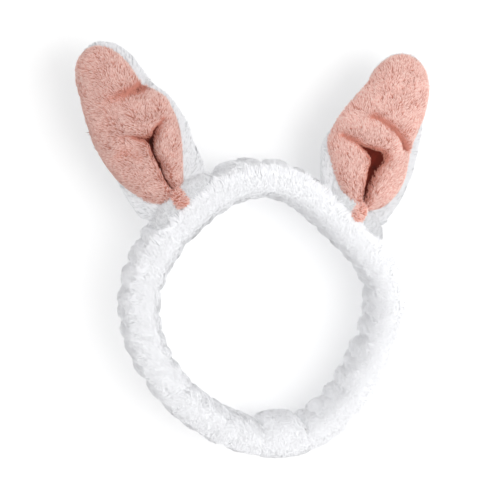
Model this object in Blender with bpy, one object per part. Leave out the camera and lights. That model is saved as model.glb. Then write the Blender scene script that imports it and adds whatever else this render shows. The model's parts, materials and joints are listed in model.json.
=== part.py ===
"""Bunny ears headband: an elasticated fleece band with two padded ears sewn to its outside.

Metres, +Z up. The band lies on its lower edge, as it does on a table: the head opening's
axis is +Z through the origin, which is at the middle of the opening on the resting plane.
The ears point away from the opening towards +Y, with their coloured front panels up.
"""

import math

import bmesh
import bpy
import numpy as np

# Band: the line midway between the sleeve's inner and outer walls
BAND_RADIUS = 0.0885
BAND_WAVES = ((2, 0.0042, 120.0), (4, 0.0028, 6.0), (5, 0.0013, 12.0))  # lobes, height, crest
BAND_HEIGHT = 0.050
BAND_THICKNESS = 0.025
BAND_FLARE = 0.0026  # how much wider the lower edge lies than the upper one
BAND_ROUNDNESS = 2.6  # exponent of the sleeve's section, 2 for an ellipse
SLEEVE_WALL = 0.004  # fleece and its pile, bunched
SECTION_POINTS = 16
NAPE_ANGLE = -83.0
NAPE_LENGTH = 0.032
STEP_ANGLE = 6.0

# Elastic inside the sleeve
ELASTIC_WIDTH = 0.025
ELASTIC_THICKNESS = 0.0012
ELASTIC_OVERLAP = 0.026
ELASTIC_START = -60.0
ZIGZAG_TURNS = 6

# Ears, measured from the hinge line outwards
EAR_LENGTH = 0.110
EAR_WIDTH = 0.062
EAR_DEPTH = 0.017
EAR_WIDEST_AT = 0.038
EAR_BASE_RUN = 0.060  # how fast the outline narrows behind its widest place
EAR_BASE_ROUND = 2.0  # exponent of the outline behind its widest place
EAR_TIP_ROUND = 1.85  # and ahead of it
EAR_PLUMPNESS = 0.6  # how slowly the ear thins as it narrows: 0 keeps it thick to the edge
EAR_WALL = 0.0025
EAR_DROP = 0.014  # of the hinge line below the band's upper edge
EAR_HEIGHT = BAND_HEIGHT - EAR_DROP
FRONT_BORDER = 0.005  # white fabric that shows round the front panel
FRONT_WIDEST_AT = 0.042
FRONT_START = -0.002
FRONT_BASE_ROUND = 1.6
FOLD_AT = 0.072
EARS = (("left", 126.2, 115.5), ("right", 46.7, 73.0))  # place on the band, way it points

# Hinge, tab and gather at the foot of each ear
HINGE_STANDOFF = 0.0080  # from the sleeve's wall to the hinge line
HINGE_SETBACK = 0.0016  # from the hinge line to the ear's cut foot
BASE_SEAM_LENGTH = 0.034
GATHER_SIZE = (0.013, 0.040, 0.013)
TAB_SIZE = (0.0056, 0.012, 0.012)
TAB_REACH = 0.0098
TAB_RISE = 0.0076

# Clearances and threads
GAP = 0.0003
SEAM_GAP = 0.0014
THREAD_RADIUS = 0.0004
FOLD_GAP = 0.0006

FLEECE_WHITE = ("coral_fleece_white", (0.93, 0.93, 0.95, 1), 0.95)
FLEECE_PINK = ("coral_fleece_pink", (0.85, 0.50, 0.43, 1), 0.95)
FIBREFILL = ("polyester_fibrefill", (0.96, 0.96, 0.96, 1), 1.0)
ELASTIC = ("knitted_elastic", (0.90, 0.90, 0.89, 1), 0.8)
THREAD = ("polyester_thread", (0.94, 0.93, 0.92, 1), 0.6)


def clear_scene():
    for obj in list(bpy.data.objects):
        bpy.data.objects.remove(obj, do_unlink=True)


def material(finish):
    """One Principled material for each named finish."""
    name, colour, roughness = finish
    found = bpy.data.materials.get(name)
    if found:
        return found
    made = bpy.data.materials.new(name)
    made.use_nodes = True
    shader = made.node_tree.nodes["Principled BSDF"]
    shader.inputs["Base Color"].default_value = colour
    shader.inputs["Roughness"].default_value = roughness
    shader.inputs["Metallic"].default_value = 0.0
    return made


def add_object(name, points, faces, finish, parent=None):
    """A closed mesh with its faces turned outwards."""
    mesh = bpy.data.meshes.new(name)
    mesh.from_pydata(np.asarray(points).tolist(), [], faces)
    shell = bmesh.new()
    shell.from_mesh(mesh)
    bmesh.ops.recalc_face_normals(shell, faces=shell.faces)
    shell.to_mesh(mesh)
    shell.free()
    mesh.shade_smooth()
    mesh.set_sharp_from_angle(angle=math.radians(40))
    obj = bpy.data.objects.new(name, mesh)
    bpy.context.scene.collection.objects.link(obj)
    obj.parent = parent
    if finish:
        mesh.materials.append(material(finish))
    else:
        obj.hide_render = True
        obj.display_type = "WIRE"
    return obj


def add_empty(name, location, turn=0.0, parent=None):
    empty = bpy.data.objects.new(name, None)
    bpy.context.scene.collection.objects.link(empty)
    empty.location = location
    empty.rotation_euler = (0, 0, turn)
    empty.parent = parent
    return empty


def add_thread(name, points, parent=None, closed=False, radius=THREAD_RADIUS):
    """A round sewing thread through the given points."""
    curve = bpy.data.curves.new(name, "CURVE")
    curve.dimensions = "3D"
    curve.bevel_depth = radius
    curve.bevel_resolution = 1
    curve.use_fill_caps = not closed
    spline = curve.splines.new("POLY")
    spline.points.add(len(points) - 1)
    spline.use_cyclic_u = closed
    for point, place in zip(spline.points, points):
        point.co = (*place, 1)
    obj = bpy.data.objects.new(name, curve)
    bpy.context.scene.collection.objects.link(obj)
    obj.parent = parent
    curve.materials.append(material(THREAD))
    return obj


def cut(obj, operation, other):
    boolean = obj.modifiers.new(other.name, "BOOLEAN")
    boolean.operation = operation
    boolean.solver = "EXACT"
    boolean.object = other


# ---------------------------------------------------------------- band


def band_line(degrees):
    """Points of the band's middle line at these angles, and the outward normals there."""
    angle = np.radians(np.atleast_1d(degrees).astype(float))
    radius = np.full_like(angle, BAND_RADIUS)
    slope = np.zeros_like(angle)
    for lobes, height, crest in BAND_WAVES:
        phase = lobes * (angle - math.radians(crest))
        radius += height * np.cos(phase)
        slope -= lobes * height * np.sin(phase)
    outward = np.stack([np.cos(angle), np.sin(angle)], 1)
    along = np.stack([-np.sin(angle), np.cos(angle)], 1)
    tangent = slope[:, None] * outward + radius[:, None] * along
    tangent /= np.linalg.norm(tangent, axis=1)[:, None]
    return radius[:, None] * outward, np.stack([tangent[:, 1], -tangent[:, 0]], 1)


def section(inset):
    """The sleeve's rounded section as (outward, up) pairs, flat where it rests."""
    turn = 2 * math.pi * (np.arange(SECTION_POINTS) + 0.5) / SECTION_POINTS
    power = 2 / BAND_ROUNDNESS
    across = np.sign(np.cos(turn)) * np.abs(np.cos(turn)) ** power
    up = np.sign(np.sin(turn)) * np.abs(np.sin(turn)) ** power
    across *= (BAND_THICKNESS / 2 - inset) / np.abs(across).max()
    up *= (BAND_HEIGHT / 2 - inset) / np.abs(up).max()
    return np.stack([across, BAND_HEIGHT / 2 + up], 1)


def flare(up):
    return BAND_FLARE * (0.5 - up / BAND_HEIGHT)


def sweep(degrees, profile):
    """The profile carried round the band: one ring of points for each angle."""
    centre, normal = band_line(degrees)
    across = profile[:, 0] + flare(profile[:, 1])
    rings = np.empty((len(centre), len(profile), 3))
    rings[:, :, :2] = centre[:, None] + normal[:, None] * across[None, :, None]
    rings[:, :, 2] = profile[:, 1]
    return rings


def tube_faces(rings, points, closed):
    """Quads round a run of rings, and from the last ring to the first if it is closed."""
    faces = []
    for ring in range(rings if closed else rings - 1):
        after = (ring + 1) % rings
        for point in range(points):
            beside = (point + 1) % points
            faces.append(
                (ring * points + point, ring * points + beside,
                 after * points + beside, after * points + point)
            )
    return faces


def hollow_tube(name, degrees, finish):
    """A length of sleeve with open ends: outer and inner walls joined by a rim at each end."""
    outer = sweep(degrees, section(0))
    inner = sweep(degrees, section(SLEEVE_WALL))
    rings, points = outer.shape[:2]
    total = rings * points
    faces = tube_faces(rings, points, False)
    faces += [tuple(total + corner for corner in face[::-1]) for face in faces]
    for ring, turned in ((0, False), (rings - 1, True)):
        for point in range(points):
            beside = (point + 1) % points
            rim = (ring * points + point, total + ring * points + point,
                   total + ring * points + beside, ring * points + beside)
            faces.append(rim[::-1] if turned else rim)
    return add_object(name, np.concatenate([outer, inner]).reshape(-1, 3), faces, finish)


def angles_between(start, end):
    return np.linspace(start, end, max(2, round((end - start) / STEP_ANGLE) + 1))


def degrees_for(length):
    """The angle that a length along the band takes near the nape."""
    centre, _ = band_line(NAPE_ANGLE)
    return math.degrees(length / np.linalg.norm(centre))


def make_sleeve():
    half = degrees_for(NAPE_LENGTH / 2)
    seam = degrees_for(SEAM_GAP)
    start, end = NAPE_ANGLE + half + seam, NAPE_ANGLE + 360 - half - seam
    hollow_tube("band_sleeve", angles_between(start, end), FLEECE_WHITE)
    hollow_tube("nape_join", np.linspace(NAPE_ANGLE - half, NAPE_ANGLE + half, 5), FLEECE_WHITE)
    for side, place in (("right", start - seam / 2), ("left", end + seam / 2)):
        ring = sweep([place], section(SLEEVE_WALL / 2))[0]
        add_thread(f"nape_seam_{side}", ring, closed=True)
    seam_line = np.array([[0, SLEEVE_WALL + THREAD_RADIUS + GAP]])
    path = sweep(angles_between(start + seam, end - seam), seam_line)[:, 0]
    add_thread("sleeve_long_seam", path)


def strip_offset(turned, overlap):
    """How far the strip lies outside its first turn: it steps out before it overlaps itself."""
    step = np.clip((turned - (360 - 2 * overlap)) / overlap, 0, 1)
    return (ELASTIC_THICKNESS + GAP) * step * step * (3 - 2 * step)


def make_elastic():
    overlap = degrees_for(ELASTIC_OVERLAP)
    turned = np.linspace(0, 360 + overlap, round(360 / STEP_ANGLE) + 12)
    centre, normal = band_line(ELASTIC_START + turned)
    low, high = (BAND_HEIGHT - ELASTIC_WIDTH) / 2, (BAND_HEIGHT + ELASTIC_WIDTH) / 2
    half = ELASTIC_THICKNESS / 2
    corners = np.array([[half, low], [half, high], [-half, high], [-half, low]])
    across = strip_offset(turned, overlap)[:, None] + corners[None, :, 0]
    rings = np.empty((len(turned), 4, 3))
    rings[:, :, :2] = centre[:, None] + normal[:, None] * across[:, :, None]
    rings[:, :, 2] = corners[:, 1]
    last = 4 * (len(turned) - 1)
    faces = tube_faces(len(turned), 4, False)
    faces += [(3, 2, 1, 0), (last, last + 1, last + 2, last + 3)]
    add_object("elastic_loop", rings.reshape(-1, 3), faces, ELASTIC)
    make_zigzag(overlap, low, high)


def make_zigzag(overlap, low, high):
    """Zigzag stitching across the overlapping ends of the elastic, on their outer side."""
    places = np.linspace(0.15, 0.85, 2 * ZIGZAG_TURNS + 1)
    centre, normal = band_line(ELASTIC_START + 360 + places * overlap)
    outside = 1.5 * ELASTIC_THICKNESS + 2 * GAP + THREAD_RADIUS
    margin = 0.15 * (high - low)
    up = np.where(np.arange(len(places)) % 2, high - margin, low + margin)
    add_thread("elastic_zigzag", np.column_stack([centre + normal * outside, up]))


def make_envelope():
    """The band's outer shape with the gap added, for trimming what lies against it."""
    degrees = np.arange(0, 360, STEP_ANGLE / 2)
    rings = sweep(degrees, section(-GAP))
    faces = tube_faces(len(degrees), SECTION_POINTS, True)
    return add_object("band_envelope", rings.reshape(-1, 3), faces, None)


# ---------------------------------------------------------------- ears


def egg(along, widest_at, behind, ahead, base_power, tip_power):
    """Half width, as a share of the widest, of an outline that is rounder at its foot."""
    back = np.clip((widest_at - along) / behind, 0, 1) ** base_power
    front = np.clip((along - widest_at) / ahead, 0, 1) ** tip_power
    return (1 - back) ** (1 / base_power) * (1 - front) ** (1 / tip_power)


def ear_half_width(along, inset=0.0):
    ahead = EAR_LENGTH - EAR_WIDEST_AT - inset
    behind = EAR_BASE_RUN - inset
    share = egg(along, EAR_WIDEST_AT, behind, ahead, EAR_BASE_ROUND, EAR_TIP_ROUND)
    return (EAR_WIDTH / 2 - inset) * share


def ear_half_depth(along, inset=0.0):
    share = ear_half_width(along, inset) / (EAR_WIDTH / 2 - inset)
    return (EAR_DEPTH / 2 - inset) * share**EAR_PLUMPNESS


def front_half_width(along):
    share = egg(along, FRONT_WIDEST_AT, FRONT_WIDEST_AT - FRONT_START,
                EAR_LENGTH - FRONT_BORDER - FRONT_WIDEST_AT, FRONT_BASE_ROUND, EAR_TIP_ROUND)
    return (EAR_WIDTH / 2 - FRONT_BORDER) * share


def eased(start, end, count):
    """Values from start to end that crowd together at both ends."""
    return start + (end - start) * (1 - np.cos(np.linspace(0, math.pi, count))) / 2


def make_pad(name, parent, inset, finish=None, stations=20, around=16):
    """The padded ear's whole shape, drawn in by the inset: oval sections along its length."""
    along = eased(EAR_WIDEST_AT - EAR_BASE_RUN + inset, EAR_LENGTH - inset, stations)
    middle = along[1:-1]
    turn = 2 * math.pi * (np.arange(around) + 0.5) / around
    rings = np.empty((len(middle), around, 3))
    rings[:, :, 0] = middle[:, None]
    rings[:, :, 1] = ear_half_width(middle, inset)[:, None] * np.cos(turn)
    rings[:, :, 2] = ear_half_depth(middle, inset)[:, None] * np.sin(turn)
    foot, tip = len(middle) * around, len(middle) * around + 1
    points = np.concatenate([rings.reshape(-1, 3), [[along[0], 0, 0], [along[-1], 0, 0]]])
    faces = tube_faces(len(middle), around, False)
    last = foot - around
    for point in range(around):
        beside = (point + 1) % around
        faces.append((foot, beside, point))
        faces.append((tip, last + point, last + beside))
    return add_object(name, points, faces, finish, parent)


def front_outline(grow, count=18):
    """The front panel's outline as (along, across) points, grown outwards by a distance."""
    along = eased(FRONT_START, EAR_LENGTH - FRONT_BORDER, count)
    half = front_half_width(along)
    loop = np.concatenate([
        np.stack([along, half], 1),
        np.stack([along[-2:0:-1], -half[-2:0:-1]], 1),
    ])
    side = np.roll(loop, -1, 0) - np.roll(loop, 1, 0)
    side /= np.linalg.norm(side, axis=1)[:, None]
    return loop + grow * np.stack([-side[:, 1], side[:, 0]], 1)


def make_prism(name, parent, loop, low, high):
    """An upright prism on a flat outline, used as a cutter."""
    count = len(loop)
    points = [(*place, height) for height in (low, high) for place in loop]
    faces = tube_faces(2, count, False)
    faces += [tuple(range(count)), tuple(range(2 * count - 1, count - 1, -1))]
    return add_object(name, points, faces, None, parent)


def make_half(name, parent, start, end, turn=0.0):
    """A block from start to end along the ear, turned to line up with the hinge."""
    reach = EAR_WIDTH * 2
    loop = np.array([[start, -reach], [end, -reach], [end, reach], [start, reach]])
    c, s = math.cos(turn), math.sin(turn)
    return make_prism(name, parent, loop @ np.array([[c, s], [-s, c]]), -EAR_DEPTH, EAR_DEPTH)


def add_ball(name, parent, place, size, finish):
    """A soft oval lump with the given full sizes."""
    ball = bmesh.new()
    bmesh.ops.create_uvsphere(ball, u_segments=16, v_segments=10, radius=0.5)
    bmesh.ops.scale(ball, vec=size, verts=ball.verts)
    mesh = bpy.data.meshes.new(name)
    ball.to_mesh(mesh)
    ball.free()
    mesh.shade_smooth()
    mesh.materials.append(material(finish))
    obj = bpy.data.objects.new(name, mesh)
    bpy.context.scene.collection.objects.link(obj)
    obj.parent = parent
    obj.location = place
    return obj


def seam_paths():
    """The thread between front and back panels, split where the tip folds."""
    loop = front_outline(SEAM_GAP / 2, 26)
    along, across = loop[:, 0], loop[:, 1]
    room = np.clip(1 - (across / ear_half_width(along)) ** 2, 0, 1)
    up = ear_half_depth(along) * np.sqrt(room) - EAR_WALL / 2
    path = np.column_stack([along, across, up])
    tip_end = FOLD_AT + FOLD_GAP + THREAD_RADIUS
    foot_end = FOLD_AT - FOLD_GAP - THREAD_RADIUS
    tip = path[along > tip_end]
    split = int(np.argmax(along))
    lower = [side[side[:, 0] < foot_end] for side in (path[split:], path[:split])]
    return lower, tip


def make_ear(side, place, points_at, envelope):
    """One ear: panels, filling and seams on its hinge, with the tip on its own fold."""
    centre, normal = (value[0] for value in band_line(place))
    wall = BAND_THICKNESS / 2 + flare(EAR_HEIGHT)
    spot = centre + normal * (wall + HINGE_STANDOFF)
    facing = math.atan2(normal[1], normal[0])
    heading = math.radians(points_at)
    name = f"ear_{side}"
    foot = add_empty(f"{name}_foot", (*spot, EAR_HEIGHT), facing)
    hinge = add_empty(f"{name}_hinge", (*spot, EAR_HEIGHT), heading)
    rise = float(ear_half_depth(np.array([FOLD_AT]))[0]) + GAP
    fold = add_empty(f"{name}_fold", (FOLD_AT, 0, rise), parent=hinge)
    swing = facing - heading

    cavity = make_pad(f"{name}_cavity", hinge, EAR_WALL)
    window = make_prism(f"{name}_window", hinge, front_outline(SEAM_GAP), 0, EAR_DEPTH)
    patch = make_prism(f"{name}_patch", hinge, front_outline(0), 0, EAR_DEPTH)
    beyond = make_half(f"{name}_beyond_foot", hinge, HINGE_SETBACK, EAR_LENGTH * 2, swing)
    halves = {
        "lower": make_half(f"{name}_lower_half", hinge, -EAR_LENGTH, FOLD_AT - FOLD_GAP / 2),
        "tip": make_half(f"{name}_tip_half", hinge, FOLD_AT + FOLD_GAP / 2, EAR_LENGTH * 2),
    }
    for half, keep in halves.items():
        back = make_pad(f"{name}_back_{half}", hinge, 0, FLEECE_WHITE)
        cut(back, "DIFFERENCE", cavity)
        cut(back, "DIFFERENCE", window)
        front = make_pad(f"{name}_front_{half}", hinge, 0, FLEECE_PINK)
        cut(front, "DIFFERENCE", cavity)
        cut(front, "INTERSECT", patch)
        filling = make_pad(f"{name}_filling_{half}", hinge, EAR_WALL + GAP, FIBREFILL)
        for piece in (back, front, filling):
            cut(piece, "INTERSECT", keep)
            if half == "lower":
                cut(piece, "INTERSECT", beyond)
            else:
                hang_on_fold(piece, fold)
    make_edge_seams(name, hinge, fold, swing)
    make_foot(name, foot, envelope)


def hang_on_fold(piece, fold):
    piece.parent = fold
    piece.location = [-value for value in fold.location]


def make_edge_seams(name, hinge, fold, swing):
    lower, tip = seam_paths()
    from_hinge = math.cos(swing), math.sin(swing)
    clear = HINGE_SETBACK + 2 * THREAD_RADIUS
    for run, edge in zip(lower, ("right", "left")):
        away = run[:, 0] * from_hinge[0] + run[:, 1] * from_hinge[1]
        add_thread(f"{name}_seam_{edge}_edge", run[away > clear], hinge)
    hang_on_fold(add_thread(f"{name}_seam_tip", tip, hinge), fold)


def make_foot(name, foot, envelope):
    """What holds the ear to the band: gathered fleece, the stitched line and the tab."""
    gather = add_ball(f"{name}_root_gather", foot,
                      (-GATHER_SIZE[0] / 2, 0, -GATHER_SIZE[2] / 2 - 2 * THREAD_RADIUS),
                      GATHER_SIZE, FLEECE_WHITE)
    cut(gather, "DIFFERENCE", envelope)
    tab = add_ball(f"{name}_tab", foot, (-TAB_REACH, 0, TAB_RISE), TAB_SIZE, FLEECE_PINK)
    cut(tab, "DIFFERENCE", envelope)
    across = np.linspace(-BASE_SEAM_LENGTH / 2, BASE_SEAM_LENGTH / 2, 9)
    line = np.column_stack([np.zeros_like(across), across, np.zeros_like(across)])
    add_thread(f"{name}_base_seam", line, foot)


clear_scene()
make_sleeve()
make_elastic()
outer_shape = make_envelope()
for ear_side, ear_place, ear_heading in EARS:
    make_ear(ear_side, ear_place, ear_heading, outer_shape)
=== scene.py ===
"""Looks of the bunny ears headband: gathered coral fleece band, two padded ears, and their pile.

Metres, +Z up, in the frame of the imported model. The band lies flat with its opening upwards.
"""

import json
import math

import bpy
import numpy as np
from mathutils import Matrix, Vector


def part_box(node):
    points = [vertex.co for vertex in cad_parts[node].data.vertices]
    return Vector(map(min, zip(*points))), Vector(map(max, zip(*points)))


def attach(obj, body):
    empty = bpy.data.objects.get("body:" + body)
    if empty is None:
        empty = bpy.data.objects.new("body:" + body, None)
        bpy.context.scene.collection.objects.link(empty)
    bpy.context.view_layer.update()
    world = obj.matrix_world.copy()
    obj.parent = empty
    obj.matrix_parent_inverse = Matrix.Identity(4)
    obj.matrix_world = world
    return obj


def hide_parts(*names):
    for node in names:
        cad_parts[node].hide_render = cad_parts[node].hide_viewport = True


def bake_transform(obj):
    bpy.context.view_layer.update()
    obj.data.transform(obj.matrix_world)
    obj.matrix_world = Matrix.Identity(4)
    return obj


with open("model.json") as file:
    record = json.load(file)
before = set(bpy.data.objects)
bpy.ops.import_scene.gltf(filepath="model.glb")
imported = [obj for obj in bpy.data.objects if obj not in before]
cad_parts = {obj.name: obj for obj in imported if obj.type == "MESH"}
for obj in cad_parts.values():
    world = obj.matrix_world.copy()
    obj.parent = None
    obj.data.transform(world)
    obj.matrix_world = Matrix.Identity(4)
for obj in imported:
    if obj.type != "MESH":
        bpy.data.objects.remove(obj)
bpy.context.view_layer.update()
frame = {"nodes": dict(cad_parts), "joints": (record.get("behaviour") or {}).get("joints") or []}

MM = 0.001

# Band: the same middle line and section as the sewn sleeve
BAND_RADIUS = 0.0885
BAND_WAVES = ((2, 0.0042, 120.0), (4, 0.0028, 6.0), (5, 0.0013, 12.0))  # lobes, height, crest
BAND_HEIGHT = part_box("band_sleeve")[1].z
BAND_THICKNESS = 0.025
BAND_FLARE = 0.0026
BAND_ROUNDNESS = 2.6
NAPE_ANGLE = -83.0
NAPE_SPREAD = 10.6  # degrees either side that the smooth join takes
PILE_ROOM = 0.0016  # the fabric lies this far inside the sleeve's outer size, under its pile
SLEEVE_WALL = 0.003
NAPE_CALM = 9  # degrees past the join over which the gathers begin
NAPE_BULGE = (0.0008, 0.0052)  # of the join, everywhere and towards the head
NAPE_VALLEY = (0.0004, 0.0024)  # beside it, likewise
NAPE_VALLEY_WIDTH = 2.2  # degrees

# Gathers of the sleeve
GATHERS_ROUND = 40
GATHER_ROWS = 6
GATHER_DEPTH = 0.0040
PUFF_SHARPNESS = 16.0
GATHER_SLANT = 0.9
GATHER_WANDER = 0.14
RIM = (0.60, 0.90)  # shares of the band's height between which the wall turns into the rim
RIM_CALM = 0.92  # share of the gathers' depth that the rim loses
LEFT_RIM_DEPTH = 0.85  # share of that loss which the lower left is spared
INNER_RIGHT_DEEPER = 0.35
# Stretches of the band in degrees from the nape join: rises from, to, falls from, to
LOWER_LEFT = (-110, -85, -30, -16)
LEFT = (-170, -120, -70, -40)
INNER_RIGHT = (5, 30, 90, 120)
BAND_PILES = 7  # lengths of the sleeve that each carry their own pile

# Ears, along the way each one points
SPLIT_AT = 0.028  # lower and upper lengths of an ear meet here, between its two bends

# Pile: the fleece's fibres stand in locks under a millimetre wide
BAND_PILE_LENGTH = 0.0034
BAND_PILE_WIDTH = 0.00074
BAND_PILE_PER_MM2 = 1.3
EAR_PILE_LENGTH = 0.0034
EAR_PILE_WIDTH = 0.00066
FRONT_PILE_PER_MM2 = 2.9
BACK_PILE_PER_MM2 = 1.2
# Painted light and shade: the two ears' fronts are painted at their own brightness, the left darker and the
# right lighter
FRONT_PAINTED_LIGHT = {"left": 0.96, "right": 1.12}
BACK_PAINTED_SHADE = 0.73  # painted shade: the white backs are painted darker than the band
# Painted shade: the rolls at the ears' feet are painted darker
NECK_PAINTED_SHADE = 0.72
WALL_PAINTED_SHADE = 0.92  # painted shade on the band's walls, against its rim
WALL_TO_RIM = (0.028, 0.044)  # heights between which that shade is lost
PILE_THINS = (0.004, 0.024)  # below this the pile thins out, towards the table
FOLD_FULL = 0.0047  # at this fold depth the skin and locks get the full painted fold shade, and the locks half their length
FOLD_FADE = 1.7
GROUND = 0.25  # share of a lock's colour that its foot starts from
LOCK_ROUNDNESS = 0.55  # soft fibres scatter light, so a lock shades nearly as the fabric under it
FRINGE_PER_MM = 10.0
FRINGE_LENGTH = 0.0048
FRINGE_WIDTH = 0.0006
FRINGE_TURNS = (12, 42)  # degrees from the rim's top, over its edge
# Stretches of the band in degrees from +X where the fringe is boldest
BOLD_OUTER = (-20, 15, 150, 185)
BOLD_INNER = (-62, -30, 30, 70)

rng = np.random.default_rng(7)


# ---------------------------------------------------------------- colours and materials


def colour(hex_code):
    """An sRGB hex colour as linear RGBA."""
    shares = np.array([int(hex_code[i:i + 2], 16) for i in (1, 3, 5)]) / 255
    linear = np.where(shares <= 0.04045, shares / 12.92, ((shares + 0.055) / 1.055) ** 2.4)
    return (*linear.tolist(), 1.0)


def add(tree, kind, settings=None, **inputs):
    """One node with its settings; an input is a value or another node's output socket."""
    node = tree.nodes.new(kind)
    for name, value in (settings or {}).items():
        setattr(node, name, value)
    for name, value in inputs.items():
        key = int(name[1:]) if name[0] == "_" else name.replace("_", " ")
        if isinstance(value, bpy.types.NodeSocket):
            tree.links.new(value, node.inputs[key])
        else:
            node.inputs[key].default_value = value
    return node


def blank(name):
    made = bpy.data.materials.new(name)
    made.use_nodes = True
    shader = made.node_tree.nodes["Principled BSDF"]
    return made, made.node_tree, shader


def coral_fleece(name, fold_shade_colour, root, middle, tip, contrast, painted_glow_strength, glow):
    """Knitted polyester pile, brushed into locks: painted shade at each lock's foot and darkest in the
    folds, painted light towards its tips.
    The last two arguments are a painted glow, an emission standing in for the light its loose fibres pass
    on to each other, and the colour of that glow."""
    made, tree, shader = blank(name)
    along = add(tree, "ShaderNodeAttribute", {"attribute_name": "along_lock"})
    lock = add(tree, "ShaderNodeAttribute", {"attribute_name": "lock_shade"})
    place = add(tree, "ShaderNodeTexCoord").outputs["Object"]
    patches = add(tree, "ShaderNodeTexNoise", Vector=place, Scale=90.0, Detail=2.0)
    fibres = add(tree, "ShaderNodeTexNoise", Vector=place, Scale=1500.0, Detail=3.0)
    # Painted shade and light: the ramp runs from the painted shade colour of the deepest folds, through a
    # darker root at each lock's foot, to a pale tip of painted light
    ramp = add(tree, "ShaderNodeValToRGB", Fac=along.outputs["Fac"])
    ramp.color_ramp.elements[0].color = colour(fold_shade_colour)
    ramp.color_ramp.elements[1].color = colour(tip)
    ramp.color_ramp.elements.new(GROUND).color = colour(root)
    ramp.color_ramp.elements.new(0.6).color = colour(middle)
    brushed = add(tree, "ShaderNodeMapRange", Value=patches.outputs["Fac"], From_Min=0.3, From_Max=0.7,
                  To_Min=1 - contrast, To_Max=1 + 0.7 * contrast)
    # Patches of brushing times each lock's shade: its random tone with the painted light and shade it
    # carries
    toned = add(tree, "ShaderNodeMath", {"operation": "MULTIPLY"}, _0=brushed.outputs[0],
                _1=lock.outputs["Fac"])
    tint = add(tree, "ShaderNodeVectorMath", {"operation": "SCALE"}, _0=ramp.outputs["Color"],
               Scale=toned.outputs[0])
    bump = add(tree, "ShaderNodeBump", Height=fibres.outputs["Fac"], Strength=0.3, Distance=0.0003)
    tree.links.new(tint.outputs[0], shader.inputs["Base Color"])
    tree.links.new(bump.outputs[0], shader.inputs["Normal"])
    shader.inputs["Roughness"].default_value = 0.9
    shader.inputs["Specular IOR Level"].default_value = 0.1
    # Painted glow: an emission in the fibres' colour, weaker where the locks part in the folds
    painted_glow_share = add(tree, "ShaderNodeMapRange", Value=along.outputs["Fac"], From_Max=GROUND, To_Min=0.2)
    painted_glow = add(tree, "ShaderNodeVectorMath", {"operation": "SCALE"}, _0=colour(glow)[:3],
                    Scale=painted_glow_share.outputs[0])
    tree.links.new(painted_glow.outputs[0], shader.inputs["Emission Color"])
    shader.inputs["Emission Strength"].default_value = painted_glow_strength
    return made


def spun_thread(name, tone):
    """Twisted polyester sewing thread: fine slanting plies."""
    made, tree, shader = blank(name)
    place = add(tree, "ShaderNodeTexCoord").outputs["Object"]
    plies = add(tree, "ShaderNodeTexWave", {"bands_direction": "DIAGONAL"}, Vector=place,
                Scale=900.0, Distortion=1.5)
    ramp = add(tree, "ShaderNodeValToRGB", Fac=plies.outputs["Fac"])
    ramp.color_ramp.elements[0].color = colour("#B9B7B4")
    ramp.color_ramp.elements[1].color = colour(tone)
    bump = add(tree, "ShaderNodeBump", Height=plies.outputs["Fac"], Strength=0.4, Distance=0.0001)
    tree.links.new(ramp.outputs["Color"], shader.inputs["Base Color"])
    tree.links.new(bump.outputs[0], shader.inputs["Normal"])
    shader.inputs["Roughness"].default_value = 0.55
    return made


def knitted_elastic(name):
    """Knitted rubber-cored elastic: fine ribs along the strip, slightly shiny polyester."""
    made, tree, shader = blank(name)
    place = add(tree, "ShaderNodeTexCoord").outputs["Object"]
    ribs = add(tree, "ShaderNodeTexWave", {"bands_direction": "Z", "wave_profile": "SIN"},
               Vector=place, Scale=100.0, Distortion=0.4)
    ramp = add(tree, "ShaderNodeValToRGB", Fac=ribs.outputs["Fac"])
    ramp.color_ramp.elements[0].color = colour("#CFCDC9")
    ramp.color_ramp.elements[1].color = colour("#F1F0ED")
    bump = add(tree, "ShaderNodeBump", Height=ribs.outputs["Fac"], Strength=0.6, Distance=0.0003)
    tree.links.new(ramp.outputs["Color"], shader.inputs["Base Color"])
    tree.links.new(bump.outputs[0], shader.inputs["Normal"])
    shader.inputs["Roughness"].default_value = 0.6
    return made


def fibrefill_wadding(name):
    """Loose crimped polyester fibre: bright, with soft tangled shading."""
    made, tree, shader = blank(name)
    place = add(tree, "ShaderNodeTexCoord").outputs["Object"]
    tangle = add(tree, "ShaderNodeTexNoise", Vector=place, Scale=420.0, Detail=6.0, Distortion=1.2)
    ramp = add(tree, "ShaderNodeValToRGB", Fac=tangle.outputs["Fac"])
    ramp.color_ramp.elements[0].color = colour("#DADBDD")
    ramp.color_ramp.elements[1].color = colour("#FAFAFA")
    bump = add(tree, "ShaderNodeBump", Height=tangle.outputs["Fac"], Strength=0.8, Distance=0.0008)
    tree.links.new(ramp.outputs["Color"], shader.inputs["Base Color"])
    tree.links.new(bump.outputs[0], shader.inputs["Normal"])
    shader.inputs["Roughness"].default_value = 1.0
    return made


# Each fleece: the painted shade colour of the deepest folds; root, middle and tip colours, whose darker
# root is painted shade between the locks and pale tip painted light; patch contrast; then a painted glow's
# strength and colour
WHITE_FLEECE = coral_fleece("coral_fleece_white_brushed", "#CBCBCA", "#E4E5E6", "#F0F1F3", "#FAFAFC", 0.015,
                            0.26, "#EFEFF2")
PINK_FLEECE = coral_fleece("coral_fleece_pink_brushed", "#6A1C0E", "#C07D6C", "#D08B7B", "#FFEEE7", 0.04,
                            0.15, "#D99385")
THREAD = spun_thread("polyester_thread_spun", "#F2F1EF")
ELASTIC = knitted_elastic("elastic_knitted")
FIBREFILL = fibrefill_wadding("fibrefill_wadding")


# ---------------------------------------------------------------- surfaces


def unit(vectors):
    return vectors / np.maximum(np.linalg.norm(vectors, axis=-1, keepdims=True), 1e-12)


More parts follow.
